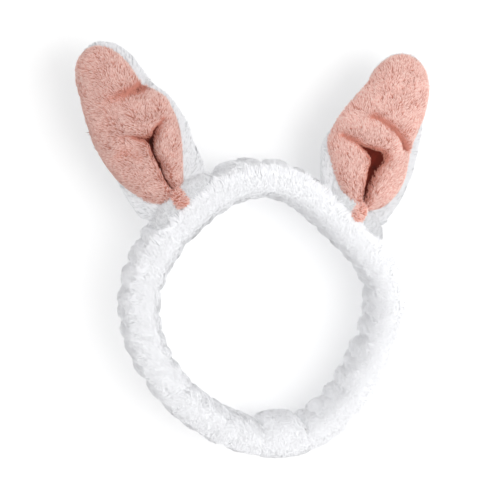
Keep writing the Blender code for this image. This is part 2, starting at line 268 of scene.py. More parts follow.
def mesh_object(name, points, faces, finish, **attributes):
    """A smooth mesh with per-point attributes, at the origin."""
    mesh = bpy.data.meshes.new(name)
    mesh.from_pydata(points.tolist(), [], faces)
    for label, values in attributes.items():
        layer = mesh.attributes.new(label, "FLOAT", "POINT")
        layer.data.foreach_set("value", np.asarray(values, np.float32).ravel())
    mesh.shade_smooth()
    mesh.materials.append(finish)
    obj = bpy.data.objects.new(name, mesh)
    bpy.context.scene.collection.objects.link(obj)
    return obj


def grid_faces(rows, columns):
    """Quads of a grid whose columns close round into a tube."""
    row = np.arange(rows - 1)[:, None]
    column = np.arange(columns)[None]
    after, beside = row + 1, (column + 1) % columns
    quads = [row * columns + column, after * columns + column,
             after * columns + beside, row * columns + beside]
    return np.stack(np.broadcast_arrays(*quads), -1).reshape(-1, 4)


def tube_object(name, rings, finish, **attributes):
    """Rings of points joined into a tube, each end closed by a fan to its own middle point."""
    rows, columns = rings.shape[:2]
    ends = np.stack([rings[0].mean(0), rings[-1].mean(0)])
    around = np.arange(columns)
    beside = (around + 1) % columns
    start, last = rows * columns, (rows - 1) * columns
    near = np.stack([np.full(columns, start), around, beside], 1)
    far = np.stack([np.full(columns, start + 1), last + beside, last + around], 1)
    faces = grid_faces(rows, columns).tolist() + near.tolist() + far.tolist()
    points = np.concatenate([rings.reshape(-1, 3), ends])
    ends_too = {k: np.concatenate([np.ravel(v), [0, 0]]) for k, v in attributes.items()}
    return mesh_object(name, points, faces, finish, **ends_too)


def grid_normals(rings):
    """Outward unit normals of a grid whose columns close round."""
    along = np.gradient(rings, axis=0)
    around = np.roll(rings, -1, 1) - np.roll(rings, 1, 1)
    return unit(np.cross(along, around))


def ripple(places, spacing, seed, waves=14):
    """Smooth random height from -1 to 1: a sum of sine waves in random directions."""
    draw = np.random.default_rng(seed)
    ways = unit(draw.normal(size=(waves, 3))) * draw.uniform(0.7, 1.5, (waves, 1))
    starts = draw.uniform(0, 2 * math.pi, waves)
    total = np.sin(places @ (ways.T * (2 * math.pi / spacing)) + starts).sum(-1)
    return total / math.sqrt(waves)


def smooth_step(values, low, high):
    share = np.clip((values - low) / (high - low), 0, 1)
    return share * share * (3 - 2 * share)


def rises_and_falls(values, up_from, up_to, down_from, down_to):
    """0 outside a stretch and 1 inside it, with soft ends."""
    return smooth_step(values, up_from, up_to) * (1 - smooth_step(values, down_from, down_to))


# ---------------------------------------------------------------- pile


def strewn(rings, normals, per_mm2, shown=None):
    """Random places on a grid, as many per area everywhere that is shown: points, normals and
    the grid places they fall between."""
    before, after = rings[:-1], rings[1:]
    side, step = np.roll(before, -1, 1) - before, after - before
    area = np.linalg.norm(np.cross(side, step), axis=-1)
    if shown is not None:
        area = area * shown[:-1]
    count = int(area.sum() / MM**2 * per_mm2)
    chosen = rng.choice(area.size, count, p=(area / area.sum()).ravel())
    row, column = np.unravel_index(chosen, area.shape)
    down, across = rng.random((2, count, 1))
    next_row, beside = row + 1, (column + 1) % rings.shape[1]

    def mixed(values):
        near = values[row, column] * (1 - across) + values[row, beside] * across
        far = values[next_row, column] * (1 - across) + values[next_row, beside] * across
        return near * (1 - down) + far * down

    return mixed(rings), unit(mixed(normals)), (row, column)


FULL_LOCK = ((0.0, 0.85), (0.4, 1.0), (0.78, 0.62))  # share of the length, share of the width
SHORT_LOCK = ((0.0, 0.9), (0.55, 0.9))


def locks_object(name, roots, normals, lean, length, width, finish, rings=SHORT_LOCK, sides=3, rise=0.5,
                 parting_and_fold_shade=0.0, lit=None, tone=1.0):
    """Tapered curved locks of pile: each climbs along the normal, bends over along its lean
    and narrows to a point. The parting share darkens each lock's colour with the folds' painted shade,
    tone scales its colour by painted light and shade, and lit is the way it faces the light, if not
    along its normal."""
    count = len(roots)
    length = np.broadcast_to(length, count)[:, None]
    width = np.broadcast_to(width, count)[:, None]
    lean = unit(lean - (lean * normals).sum(-1, keepdims=True) * normals)
    side = np.cross(normals, lean)
    per_lock = len(rings) * sides + 1
    points = np.empty((count, per_lock, 3))
    facing = np.repeat((normals if lit is None else lit)[:, None], per_lock, 1)
    along = np.ones((count, per_lock))
    for ring, (t, broad) in enumerate(rings):
        climb, reach = rise * t * (2 - t) - 0.06, 0.85 * t * t + 0.1 * t
        centre = roots + length * (normals * climb + lean * reach)
        ahead = unit(normals * rise * (2 - 2 * t) + lean * (1.7 * t + 0.1))
        up = np.cross(ahead, side)
        for k in range(sides):
            turn = 2 * math.pi * k / sides
            spread = math.cos(turn) * side + 0.7 * math.sin(turn) * up
            points[:, ring * sides + k] = centre + 0.5 * broad * width * spread
            facing[:, ring * sides + k] += LOCK_ROUNDNESS * spread
        along[:, ring * sides:(ring + 1) * sides] = t
    points[:, -1] = roots + length * (normals * (rise - 0.06) + lean * 0.95)
    walls = [
        [r * sides + k, r * sides + (k + 1) % sides, (r + 1) * sides + (k + 1) % sides, (r + 1) * sides + k]
        for r in range(len(rings) - 1) for k in range(sides)
    ]
    last = (len(rings) - 1) * sides
    tips = [[last + k, last + (k + 1) % sides, last + sides] for k in range(sides)]
    base = [list(range(sides))[::-1]]
    offsets = (np.arange(count) * per_lock)[:, None, None]
    faces = []
    for group in (walls, tips, base):
        faces += (offsets + np.array(group)[None]).reshape(-1, len(group[0])).tolist()
    points[..., 2] = np.maximum(points[..., 2], 0.0002)
    # Each lock's own random tone, times the painted light and shade passed in as tone
    shade = np.repeat(rng.uniform(0.96, 1.03, count) * tone, per_lock)
    # Painted shade: a lock's parting share runs its colour down the ramp towards the folds' painted shade
    # colour
    along = (GROUND + (1 - GROUND) * along) * (1 - np.broadcast_to(parting_and_fold_shade, count)[:, None])
    pile = mesh_object(name, points.reshape(-1, 3), faces, finish, along_lock=along, lock_shade=shade)
    pile.data.normals_split_custom_set_from_vertices(unit(facing).reshape(-1, 3).tolist())
    return pile


# ---------------------------------------------------------------- band


def band_line(degrees):
    """Points of the band's middle line and the outward normals: a circle with gentle lobes."""
    angle = np.radians(degrees)
    radius = np.full_like(angle, BAND_RADIUS)
    slope = np.zeros_like(angle)
    for lobes, height, crest in BAND_WAVES:
        phase = lobes * (angle - math.radians(crest))
        radius += height * np.cos(phase)
        slope -= lobes * height * np.sin(phase)
    outward = np.stack([np.cos(angle), np.sin(angle)], -1)
    along = np.stack([-np.sin(angle), np.cos(angle)], -1)
    tangent = unit(slope[..., None] * outward + radius[..., None] * along)
    return radius[..., None] * outward, np.stack([tangent[..., 1], -tangent[..., 0]], -1)


def from_nape(degrees):
    """Degrees from the middle of the nape join, -180 to 180."""
    return (degrees - NAPE_ANGLE + 180) % 360 - 180


def section(turn, inset):
    """The sleeve's rounded section: (outward, up) for each turn, 0 at the outer wall's middle."""
    power = 2 / BAND_ROUNDNESS
    across = np.sign(np.cos(turn)) * np.abs(np.cos(turn)) ** power
    up = np.sign(np.sin(turn)) * np.abs(np.sin(turn)) ** power
    return across * (BAND_THICKNESS / 2 - inset), BAND_HEIGHT / 2 + up * (BAND_HEIGHT / 2 - inset)


def even_turns(count):
    """Turns round the section that are evenly spaced along it."""
    fine = np.linspace(0, 2 * math.pi, 2001)
    across, up = section(fine, PILE_ROOM)
    steps = np.concatenate([[0], np.cumsum(np.hypot(np.diff(across), np.diff(up)))])
    return np.interp(np.arange(count) / count * steps[-1], steps, fine)


def puffs(across, up):
    """Height from 0 to 1 of gathers: round puffs that meet in sharp creases. Each cell of a
    jittered grid swells, and the height falls with the square of the distance to its middle."""
    draw = np.random.default_rng(11)
    jitter = draw.uniform(-0.10, 0.10, (GATHERS_ROUND, GATHER_ROWS, 2))
    jitter[..., 0] += draw.uniform(-0.16, 0.16, (GATHERS_ROUND, 1))
    column, row = np.floor(across).astype(int), np.floor(up).astype(int)
    near = np.zeros(across.shape)
    for i in (-1, 0, 1):
        for j in (-1, 0, 1):
            shift = jitter[(column + i) % GATHERS_ROUND, (row + j) % GATHER_ROWS]
            aside = column + i + 0.5 + shift[..., 0] - across
            above = (row + j + 0.5 + shift[..., 1] - up) * 0.5
            near += np.exp(-PUFF_SHARPNESS * (aside**2 + above**2))
    return 1 - np.clip(-np.log(near) / PUFF_SHARPNESS / 0.32, -0.1, 1.2)


def band_skin(degrees, turn, gathered=1.0):
    """The gathered sleeve's outer skin: the section carried round the middle line and swollen
    by its gathers, which stay low on the rim and die away at the smooth nape join."""
    degrees, turn = np.meshgrid(degrees, turn, indexing="ij")
    centre, normal = band_line(degrees)
    across, up = section(turn, PILE_ROOM)
    off = from_nape(degrees)
    out = np.cos(turn)
    rim = smooth_step(up / BAND_HEIGHT, *RIM)
    lay = np.interp(turn, EVEN_TURNS, np.arange(len(EVEN_TURNS)) / len(EVEN_TURNS), period=2 * math.pi)
    lower_left = rises_and_falls(off, *LOWER_LEFT)
    left = rises_and_falls(off, *LEFT)
    slant = 0.5 * lower_left + 0.5 * left
    wander = ripple(np.stack([centre[..., 0], centre[..., 1], up], -1), 0.03, 5)
    place = degrees / 360 * GATHERS_ROUND + slant * np.cos(turn) * GATHER_SLANT + GATHER_WANDER * wander
    height = puffs(place, lay * GATHER_ROWS)
    kept = LEFT_RIM_DEPTH * np.maximum(lower_left, 0.4 * left)
    depth = GATHER_DEPTH * (1 - RIM_CALM * rim * (1 - kept))
    inner_right = rises_and_falls(off, *INNER_RIGHT) * (out < 0)
    depth = depth * (1 + INNER_RIGHT_DEEPER * inner_right)
    calm = smooth_step(np.abs(off), NAPE_SPREAD, NAPE_SPREAD + NAPE_CALM)
    swell = gathered * depth * (height - 0.75) * calm
    join = np.clip(1 - (off / NAPE_SPREAD) ** 2, 0, 1) ** 0.6
    valley = np.exp(-((np.abs(off) - NAPE_SPREAD) / NAPE_VALLEY_WIDTH) ** 2)
    inwards = np.clip(-out, 0, 1)
    bulge = join * (NAPE_BULGE[0] + NAPE_BULGE[1] * inwards)
    swell = swell + bulge - valley * (NAPE_VALLEY[0] + NAPE_VALLEY[1] * inwards)
    pull = unit(np.stack([np.cos(turn) * BAND_HEIGHT, np.sin(turn) * BAND_THICKNESS], -1))
    across = across + swell * pull[..., 0] + BAND_FLARE * (0.5 - up / BAND_HEIGHT)
    up = np.maximum(up + swell * pull[..., 1], PILE_ROOM)
    skin = np.empty(degrees.shape + (3,))
    skin[..., :2] = centre + normal * across[..., None]
    skin[..., 2] = up
    return skin


def hollow_length(name, degrees, finish):
    """A length of sleeve, outer and inner faces joined by a rim at each end."""
    outer = band_skin(degrees, EVEN_TURNS)
    inner = outer - SLEEVE_WALL * grid_normals(outer)
    rows, columns = outer.shape[:2]
    total = rows * columns
    outside = grid_faces(rows, columns)
    inside = total + outside[:, ::-1]
    around = np.arange(columns)
    beside = (around + 1) % columns
    near = np.stack([around, beside, total + beside, total + around], 1)
    far = (near + (rows - 1) * columns)[:, ::-1]
    faces = np.concatenate([outside, inside, near, far]).tolist()
    points = np.concatenate([outer.reshape(-1, 3), inner.reshape(-1, 3)])
    tones = {"lock_shade": np.ones(len(points)), "along_lock": np.full(len(points), GROUND)}
    return mesh_object(name, points, faces, finish, **tones), outer


def comb_band(points):
    """Pile on the band leans outwards and up-left, with brushed swirls."""
    away = unit(np.stack([points[:, 0], points[:, 1], np.zeros(len(points))], -1))
    swirl = np.stack([ripple(points, 0.014, s) for s in (21, 22, 23)], -1)
    loose = 0.5 * rng.normal(size=points.shape)
    return unit(away * 0.7 + np.array([-0.2, 0.3, 0.25]) + 0.35 * swirl + loose)


def grow_band_pile(name, degrees, rings):
    """Pile that shades as if the gathers were shallower: loose fibres fill the creases."""
    seen = 0.2 + 0.8 * smooth_step(rings[..., 2], *PILE_THINS)
    smooth = grid_normals(band_skin(degrees, EVEN_TURNS, gathered=0.0))
    ways = unit(1.5 * grid_normals(rings) + smooth)
    roots, ups, _ = strewn(rings, ways, BAND_PILE_PER_MM2, shown=seen)
    sizes = rng.uniform(0.7, 1.25, len(roots))
    # Painted shade: the pile low on the walls is painted darker, fading out towards the rim
    tone = WALL_PAINTED_SHADE + (1 - WALL_PAINTED_SHADE) * smooth_step(roots[:, 2], *WALL_TO_RIM)
    pile = locks_object(name, roots, ups, comb_band(roots), BAND_PILE_LENGTH * sizes,
                        BAND_PILE_WIDTH * rng.uniform(0.7, 1.2, len(roots)), WHITE_FLEECE, rise=0.5,
                        tone=tone)
    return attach(pile, "band")


def grow_fringe(name, start, end, edge, boldness):
    """Longer tufts along an edge of the rim, brushed out over the wall below it. edge is 1 for
    the outer wall and -1 for the inner one."""
    span = math.radians(end - start) * BAND_RADIUS
    count = int(span / MM * FRINGE_PER_MM)
    degrees = rng.uniform(start, end, count)
    turn = np.radians(90 - edge * rng.uniform(*FRINGE_TURNS, count))
    centre, normal = band_line(degrees)
    across, up = section(turn, PILE_ROOM)
    roots = np.empty((count, 3))
    roots[:, :2] = centre + normal * across[:, None]
    roots[:, 2] = up + 0.0002
    away = np.concatenate([normal * edge, np.zeros((count, 1))], 1)
    ups = unit(0.35 * away + [0, 0, 1])
    along = np.stack([-normal[:, 1], normal[:, 0], np.zeros(count)], -1)
    aside = 0.45 * ripple(roots, 0.009, 52) + rng.uniform(-0.15, 0.15, count)
    sizes = rng.uniform(0.7, 1.1, count) * (1 + 0.35 * ripple(roots, 0.007, 51))
    # Painted shade: the fringe's tufts are painted a little darker than the rim's pile
    pile = locks_object(name, roots, ups, away + along * aside[:, None],
                        FRINGE_LENGTH * sizes * boldness(degrees), FRINGE_WIDTH, WHITE_FLEECE,
                        rings=FULL_LOCK, rise=0.16, lit=unit(ups + [0, 0, 1.0]), tone=0.96)
    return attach(pile, "band")


EVEN_TURNS = even_turns(96)


def make_band():
    start, end = NAPE_ANGLE + NAPE_SPREAD, NAPE_ANGLE + 360 - NAPE_SPREAD
    degrees = np.linspace(start, end, 480)
    sleeve, skin = hollow_length("band_sleeve_fleece", degrees, WHITE_FLEECE)
    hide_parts("band_sleeve")
    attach(sleeve, "band")
    edges = np.linspace(0, len(degrees) - 1, BAND_PILES + 1).astype(int)
    for k in range(BAND_PILES):
        part = slice(edges[k], edges[k + 1] + 1)
        grow_band_pile(f"band_sleeve_pile_{k + 1}", degrees[part], skin[part])
    grow_fringe("band_sleeve_fringe_outer", start, end, 1,
                lambda at: 0.55 + 0.45 * rises_and_falls(at, *BOLD_OUTER))
    grow_fringe("band_sleeve_fringe_inner", BOLD_INNER[0], BOLD_INNER[-1], -1,
                lambda at: 0.35 + 0.45 * rises_and_falls(at, *BOLD_INNER))
    nape = np.linspace(end - 360, start, 60)
    join, skin = hollow_length("nape_join_fleece", nape, WHITE_FLEECE)
    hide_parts("nape_join")
    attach(join, "band")
    grow_band_pile("nape_join_pile", nape, skin)


# ---------------------------------------------------------------- ears

# Stations along the ear in mm: (along, left edge, right edge); folds are paths on the panel,
# with depth and width in mm at their start and end. A negative depth is a ridge.
EARS = {
    "left": {
        "length": 0.110,
        "back": ((-14, 22, -21), (0, 26.5, -25.5), (14, 28, -27), (25, 28.5, -27), (36, 29.6, -28.5),
                 (48, 29.8, -27.5), (60, 28.9, -24.5), (70, 27.2, -19.5), (84, 24.6, -16.5)),
        "front": ((0, 16, -6.5), (10, 21.5, -11), (20, 26.5, -15.5), (30, 29.5, -19.5),
                  (40, 31, -22.2), (50, 31.6, -23), (60, 30.8, -21.8), (67, 29.8, -17.2),
                  (73, 28.6, -12.5), (84, 26, -10.8)),
        "folds": (
            (((38, -2), (30, 0.4), (22, 0), (12, 1.2), (-2, -1)), (9, 9), (2.4, 1.7)),
            (((48, -13), (43, -7), (37, -1.5)), (3.5, 8), (3.4, 2.6)),
            (((50, 15), (48, 9), (42, 2)), (2.2, 4.5), (2.6, 2.4)),
            (((73, -15), (72, -6), (74, 9)), (4.4, 1.4), (3.6, 5.0)),
            (((50, 24), (57, 13), (57, 1), (52, -11)), (-2.4, -2.2), (6.5, 5.5)),
            (((40, 20), (36, 14), (32, 9)), (1.2, 1.4), (4.5, 4.0)),
        ),
        "tab": ((2, -1, 5.5), (-4, -1.2, 8.6), (-9.5, -1.9, 10.0)),
    },
    "right": {
        "length": 0.108,
        "back": ((-14, 26, -17), (0, 30, -21), (12, 34.5, -25), (22, 37.8, -26.4), (34, 39.8, -27.2),
                 (46, 36.3, -26.2), (60, 30.8, -24.6), (70, 26.6, -23), (82, 21.2, -22)),
        "front": ((0, 15.5, -8), (6, 18.2, -13.5), (13, 23.8, -18), (22, 30.3, -20.8), (32, 36.4, -21),
                  (40, 38, -20.3), (50, 36.2, -19.4), (60, 32.6, -20.4), (70, 28.6, -21.4),
                  (82, 22.4, -21)),
        "folds": (
            (((35, 1.5), (28, 3.0), (18, 3), (8, 3), (-3, 3)), (9, 9), (5.6, 1.6)),
            (((42, 30), (41, 20), (37, 9)), (2.5, 5.5), (3.2, 3.6)),
            (((60, 14), (58, 3), (53, -7), (46, -15)), (2.6, 4.2), (3.6, 3.2)),
            (((50, 20), (50, 8), (46, -4)), (-2.0, -1.6), (6.0, 6.0)),
        ),
        "tab": ((1, 3, 5.5), (-4, 4.6, 8.6), (-10, 6.8, 10.0)),
    },
}
FRONT_HEIGHT = 0.0095
FRONT_LEVEL = 0.0
BACK_RISE = 0.0035
BACK_DROP = 0.0085
BACK_LEVEL = -0.0020
BORDER_FOLLOWS = 0.8  # share of a crease's depth that the white border beside it follows
TIP_ROUNDING = 0.030
FOOT_ROUNDING = 0.008
FRONT_FOOT = -0.0030
BACK_FOOT = -0.0135
EAR_WALL = 0.0025
FILLING_GAP = 0.0006

# What holds an ear to the band
GATHER_HALF_LENGTH = 0.025
GATHER_RADIUS = 0.0082
GATHER_SETBACK = -0.0072
GATHER_LIFT = 0.0010
NECK_CREASES = (  # place along the band, depth, width, slant
    (0.0, 0.0022, 0.0030, 0.0), (-0.0110, 0.0008, 0.0016, 0.007), (0.0100, 0.0008, 0.0016, -0.007),
)
TAB_HALF_WIDTH = 0.0040
TAB_HALF_DEPTH = 0.0024
THREAD_RADIUS = 0.0004
SEAM_INSET = 0.0016  # the seam is turned in, so that the pile hides its thread
SEAM_DEPTH = 0.0020
STITCH_LENGTH = 0.0024


def joint_named(name):
    return next(joint for joint in frame["joints"] if joint["name"] == name)


def across_from(axis):
    """The level direction a quarter turn anticlockwise from an axis."""
    return np.array([-axis[1], axis[0], 0.0])


def ear_frame(side):
    """The ear's hinge point, the way it points, the way across it, and the band's normal there."""
    flop, fold = joint_named(f"ear_{side}_flop"), joint_named(f"ear_{side}_tip_fold")
    heading = across_from(fold["axis"])
    return np.array(flop["pos_m"]), heading, across_from(heading), across_from(flop["axis"])


def spline(stations, along):
    """Smooth values at these places: a cubic through the stations with natural slopes."""
    stations = np.array(stations, float) * MM
    places, values = stations[:, 0], stations[:, 1:]
    slopes = np.gradient(values, places, axis=0)
    spot = np.clip(along, places[0], places[-1])
    k = np.clip(np.searchsorted(places, spot) - 1, 0, len(places) - 2)
    gap = places[k + 1] - places[k]
    t = ((spot - places[k]) / gap)[..., None]
    gap = gap[..., None]
    return ((2 * t**3 - 3 * t**2 + 1) * values[k] + (t**3 - 2 * t**2 + t) * gap * slopes[k]
            + (3 * t**2 - 2 * t**3) * values[k + 1] + (t**3 - t**2) * gap * slopes[k + 1])


def outline(stations, along, foot, tip):
    """Middle and half width of a panel, rounded off at its foot and tip as ellipses are."""
    edges = spline(stations, along)
    middle, half = edges.mean(-1), (edges[..., 0] - edges[..., 1]) / 2
    ahead = np.clip((along - (tip - TIP_ROUNDING)) / TIP_ROUNDING, 0, 1)
    behind = np.clip(((foot + FOOT_ROUNDING) - along) / FOOT_ROUNDING, 0, 1)
    return middle, half * np.sqrt(1 - ahead**2.1) * np.sqrt(1 - behind**2)


def smooth_path(points, count=24):
    """A path through a few points, as evenly spaced places with no corners."""
    points = np.array(points, float)
    steps = np.concatenate([[0], np.cumsum(np.linalg.norm(np.diff(points, axis=0), axis=1))])
    t = np.linspace(0, steps[-1], count)
    plain = np.stack([np.interp(t, steps, points[:, k]) for k in range(2)], -1)
    for _ in range(6):
        plain[1:-1] = (plain[:-2] + 2 * plain[1:-1] + plain[2:]) / 4
    return plain


def fold_depth(folds, along, across):
    """How far the panel is pressed in: a soft trough along each fold's path."""
    total = np.zeros(along.shape)
    for path, depths, widths in folds:
        line = smooth_path(path) * MM
        share = np.linspace(0, 1, len(line))
        nearest = np.full(along.shape, 9.0)
        width = np.zeros(along.shape)
        depth = np.zeros(along.shape)
        for (x, y), s in zip(line, share):
            away = np.hypot(along - x, across - y)
            closer = away < nearest
            nearest = np.where(closer, away, nearest)
            width = np.where(closer, (widths[0] + (widths[1] - widths[0]) * s) * MM, width)
            depth = np.where(closer, (depths[0] + (depths[1] - depths[0]) * s) * MM, depth)
        total += depth * np.exp(-((nearest / width) ** 2))
    return total


def pad_stations(foot, tip, start, end, count):
    """Places along a pad from start to end, crowded where its ends round off."""
    fine = np.linspace(foot, tip, 4001)
    crowd = 1 / np.sqrt(np.clip(np.minimum(fine - foot, tip - fine) / 0.02, 0.004, 1))
    steps = np.concatenate([[0], np.cumsum(crowd[:-1])])
    low, high = np.interp([start, end], fine, steps)
    return np.interp(np.linspace(low, high, count), steps, fine)


def ear_tip(ear):
    return ear["length"] - 0.0008


def panel_top(ear, along, across, share, inset=0.0):
    """Height of the padded front above the hinge: a dome that thins towards the tip, with the
    folds pressed in. share is 0 at the panel's edge and 1 along its middle."""
    _, half = outline(ear["front"], along, FRONT_FOOT, ear_tip(ear))
    full = np.clip(half / 0.018, 0, 1) ** 0.65 * FRONT_HEIGHT
    pressed = fold_depth(ear["folds"], along, across) * smooth_step(share, 0, 0.5)
    soft = ripple(np.stack([along, across, along * 0], -1), 0.022, 3) * 0.0005
    return FRONT_LEVEL + full * share**0.8 + soft * share - pressed - inset, pressed


def back_bottom(ear, along, share):
    """Height of the ear's underside: a rounder dome, hanging down from the edge."""
    _, half = outline(ear["back"], along, BACK_FOOT, ear["length"])
    return BACK_LEVEL - np.clip(half / 0.022, 0, 1) ** 0.6 * BACK_DROP * share**0.8


def spread_across(edges, along, turn, foot, tip, inset=0.0, power=0.85):
    middle, half = outline(edges, along, foot, tip)
    half = np.maximum(half - inset, 0)
    return middle + half * np.sign(np.cos(turn)) * np.abs(np.cos(turn)) ** power


def front_panel(ear, along, turn):
    """The coloured panel: a folded dome of fabric, a wall thick."""
    along, turn = np.meshgrid(along, turn, indexing="ij")
    across = spread_across(ear["front"], along, turn, FRONT_FOOT, ear_tip(ear))
    up, pressed = panel_top(ear, along, across, np.abs(np.sin(turn)))
    up -= EAR_WALL * smooth_step(-np.sin(turn), 0, 0.3)
    return np.stack([along, across, up], -1), pressed, (np.sin(turn) > -0.08).astype(float)


def back_panel(ear, along, turn):
    """The white back: a dome beneath the ear that wraps up round its edge as a border and ends
    under the front panel."""
    along, turn = np.meshgrid(along, turn, indexing="ij")
    across = spread_across(ear["back"], along, turn, BACK_FOOT, ear["length"], power=0.8)
    share = np.abs(np.sin(turn))
    middle, half = outline(ear["front"], along, FRONT_FOOT, ear_tip(ear))
    inside = smooth_step(1 - np.abs(across - middle) / np.maximum(half, 1e-6), 0.02, 0.3)
    soft = ripple(np.stack([along, across, along * 0], -1), 0.026, 9) * 0.0007
    _, width = outline(ear["back"], along, BACK_FOOT, ear["length"])
    _, pressed = panel_top(ear, along, across, share)
    border = BACK_LEVEL + np.clip(width / 0.022, 0, 1) ** 0.6 * BACK_RISE * share**0.7
    border = border - BORDER_FOLLOWS * pressed
    under = back_bottom(ear, along, share)
    over = border + (under + EAR_WALL - border) * inside
    up = np.where(np.sin(turn) > 0, over, under) + soft * share
    return np.stack([along, across, up], -1), 0 * along, np.where(np.sin(turn) > 0, 1 - inside, 1.0)


def filling_pad(ear, along, turn):
    """Wadding that fills the ear between its panels."""
    along, turn = np.meshgrid(along, turn, indexing="ij")
    across = spread_across(ear["front"], along, turn, FRONT_FOOT, ear_tip(ear), inset=2 * EAR_WALL)
    share = np.abs(np.sin(turn))
    middle, half = outline(ear["front"], along, FRONT_FOOT, ear_tip(ear))
    edge = np.clip(np.abs(across - middle) / np.maximum(half, 1e-6), 0, 1)
    below_front = np.sqrt(1 - edge**2.3)
    over, _ = panel_top(ear, along, across, below_front, inset=EAR_WALL + FILLING_GAP)
    under = back_bottom(ear, along, share) + EAR_WALL + FILLING_GAP
    middle = (over + under) / 2
    up = np.where(np.sin(turn) > 0, np.maximum(over, middle), np.minimum(under, middle))
    return np.stack([along, across, up], -1)


def placed(side, local):
    """Points given along, across and above the ear's hinge, in the model's frame."""
    hinge, heading, across, _ = ear_frame(side)
    return hinge + local[..., :1] * heading + local[..., 1:2] * across + local[..., 2:] * [0, 0, 1]


def bend(obj, length):
    """Bakes the object's placement into its mesh; neither length is bent here."""
    if length == "lower":
        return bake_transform(obj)
    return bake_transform(obj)


def comb_ear(side, roots):
    """Pile on an ear leans away from its middle line and towards the tip, with swirls."""
    hinge, heading, across, _ = ear_frame(side)
    aside = ((roots - hinge) @ across)[:, None]
    swirl = np.stack([ripple(roots, 0.016, s) for s in (31, 32, 33)], -1)
    loose = 0.2 * rng.normal(size=roots.shape)
    return unit(heading * 0.8 + across * np.tanh(aside / 0.012) * 0.7 + 0.35 * swirl + loose)


def lengths_of(foot, tip, length):
    return (foot, SPLIT_AT) if length == "lower" else (SPLIT_AT, tip)


def make_panel(side, layer, length):
    """One length of one panel: its skin and its pile."""
    ear = EARS[side]
    front = layer == "front"
    foot, tip = (FRONT_FOOT, ear_tip(ear)) if front else (BACK_FOOT, ear["length"])
    finish = PINK_FLEECE if front else WHITE_FLEECE
    rows = 70 if length == "lower" else 150
    around = 150 if front else 110
    along = pad_stations(foot, tip, *lengths_of(foot, tip, length), rows)
    turn = -2 * math.pi * np.arange(around) / around
    local, pressed, shown = (front_panel if front else back_panel)(ear, along, turn)
    rings = placed(side, local)
    name = f"ear_{side}_{layer}_{length}"
    # Painted shade in the deepest folds: skin and locks take the folds' painted shade colour, and the locks
    # grow shorter
    parting_and_fold_shade = np.clip(pressed / FOLD_FULL, 0, 1) ** FOLD_FADE
    # Painted light and shade: the fronts and the backs each get their own painted brightness
    tone = FRONT_PAINTED_LIGHT[side] if front else BACK_PAINTED_SHADE
    skin = tube_object(f"{name}_fleece", rings, finish, lock_shade=np.full(rings.shape[:2], tone),
                       along_lock=GROUND * (1 - parting_and_fold_shade))
    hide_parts(name)
    bend(skin, length)
    density = FRONT_PILE_PER_MM2 if front else BACK_PILE_PER_MM2
    roots, ups, where = strewn(rings, grid_normals(rings), density, shown=shown)
    sizes = rng.uniform(0.75, 1.25, len(roots)) * (1 - 0.5 * parting_and_fold_shade[where])
    broad = EAR_PILE_WIDTH * rng.uniform(0.75, 1.25, len(roots)) * (1 if front else 1.8)
    pile = locks_object(f"{name}_pile", roots, ups, comb_ear(side, roots), EAR_PILE_LENGTH * sizes,
                        broad, finish, parting_and_fold_shade=parting_and_fold_shade[where], rise=0.50 if front else 0.42, tone=tone,
                        lit=unit(ups + [0, 0, 0.45 if front else 0.9]))
    bend(pile, length)


def make_filling(side, length):
    ear = EARS[side]
    foot, tip = FRONT_FOOT + 2 * EAR_WALL, ear_tip(ear) - 2 * EAR_WALL
    along = pad_stations(foot, tip, *lengths_of(foot, tip, length), 40)
    turn = -2 * math.pi * np.arange(48) / 48
    name = f"ear_{side}_filling_{length}"
    pad = tube_object(f"{name}_wadding", placed(side, filling_pad(ear, along, turn)), FIBREFILL)
    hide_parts(name)
    bend(pad, length)


def thread_object(name, path, radius=THREAD_RADIUS, stitch=STITCH_LENGTH, sides=6):
    """A sewing thread along a path: a thin tube pinched at every stitch."""
    along = unit(np.gradient(path, axis=0))
    aside = unit(np.cross(along, [0.0, 0.0, 1.0]))
    up = np.cross(aside, along)
    run = np.concatenate([[0], np.cumsum(np.linalg.norm(np.diff(path, axis=0), axis=1))])
    swell = radius * (0.62 + 0.38 * np.abs(np.sin(math.pi * run / stitch)))
    turn = (2 * math.pi * np.arange(sides) / sides)[None, :, None]
    spread = np.cos(turn) * aside[:, None] + np.sin(turn) * up[:, None]
    return tube_object(name, path[:, None] + swell[:, None, None] * spread, THREAD)


def make_edge_seam(side, piece, along, edge, length):
    """The thread that joins front and back panels, in the groove between them."""
    ear = EARS[side]
    middle, half = outline(ear["front"], along, FRONT_FOOT, ear_tip(ear))
    across = middle + edge * np.maximum(half - SEAM_INSET, 0)
    _, pressed = panel_top(ear, along, across, np.full_like(along, 0.3))
    local = np.stack([along, across, FRONT_LEVEL - SEAM_DEPTH - pressed], -1)
    thread = thread_object(f"ear_{side}_{piece}_thread", placed(side, local))
    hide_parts(f"ear_{side}_{piece}")
    bend(thread, length)


def make_seams(side):
    tip = ear_tip(EARS[side])
    lower = np.linspace(0.004, SPLIT_AT, 60)
    make_edge_seam(side, "seam_left_edge", lower, 1.0, "lower")
    make_edge_seam(side, "seam_right_edge", lower, -1.0, "lower")
    out = pad_stations(FRONT_FOOT, tip, SPLIT_AT, tip - 0.0002, 150)
    make_edge_seam(side, "seam_tip", np.concatenate([out, out[::-1]]),
                   np.concatenate([np.ones(150), -np.ones(150)]), "tip")


def foot_frame(side):
    """The hinge point, and the directions along the band and out from it."""
    hinge, _, _, normal = ear_frame(side)
    return hinge, np.array([normal[1], -normal[0], 0.0]), normal


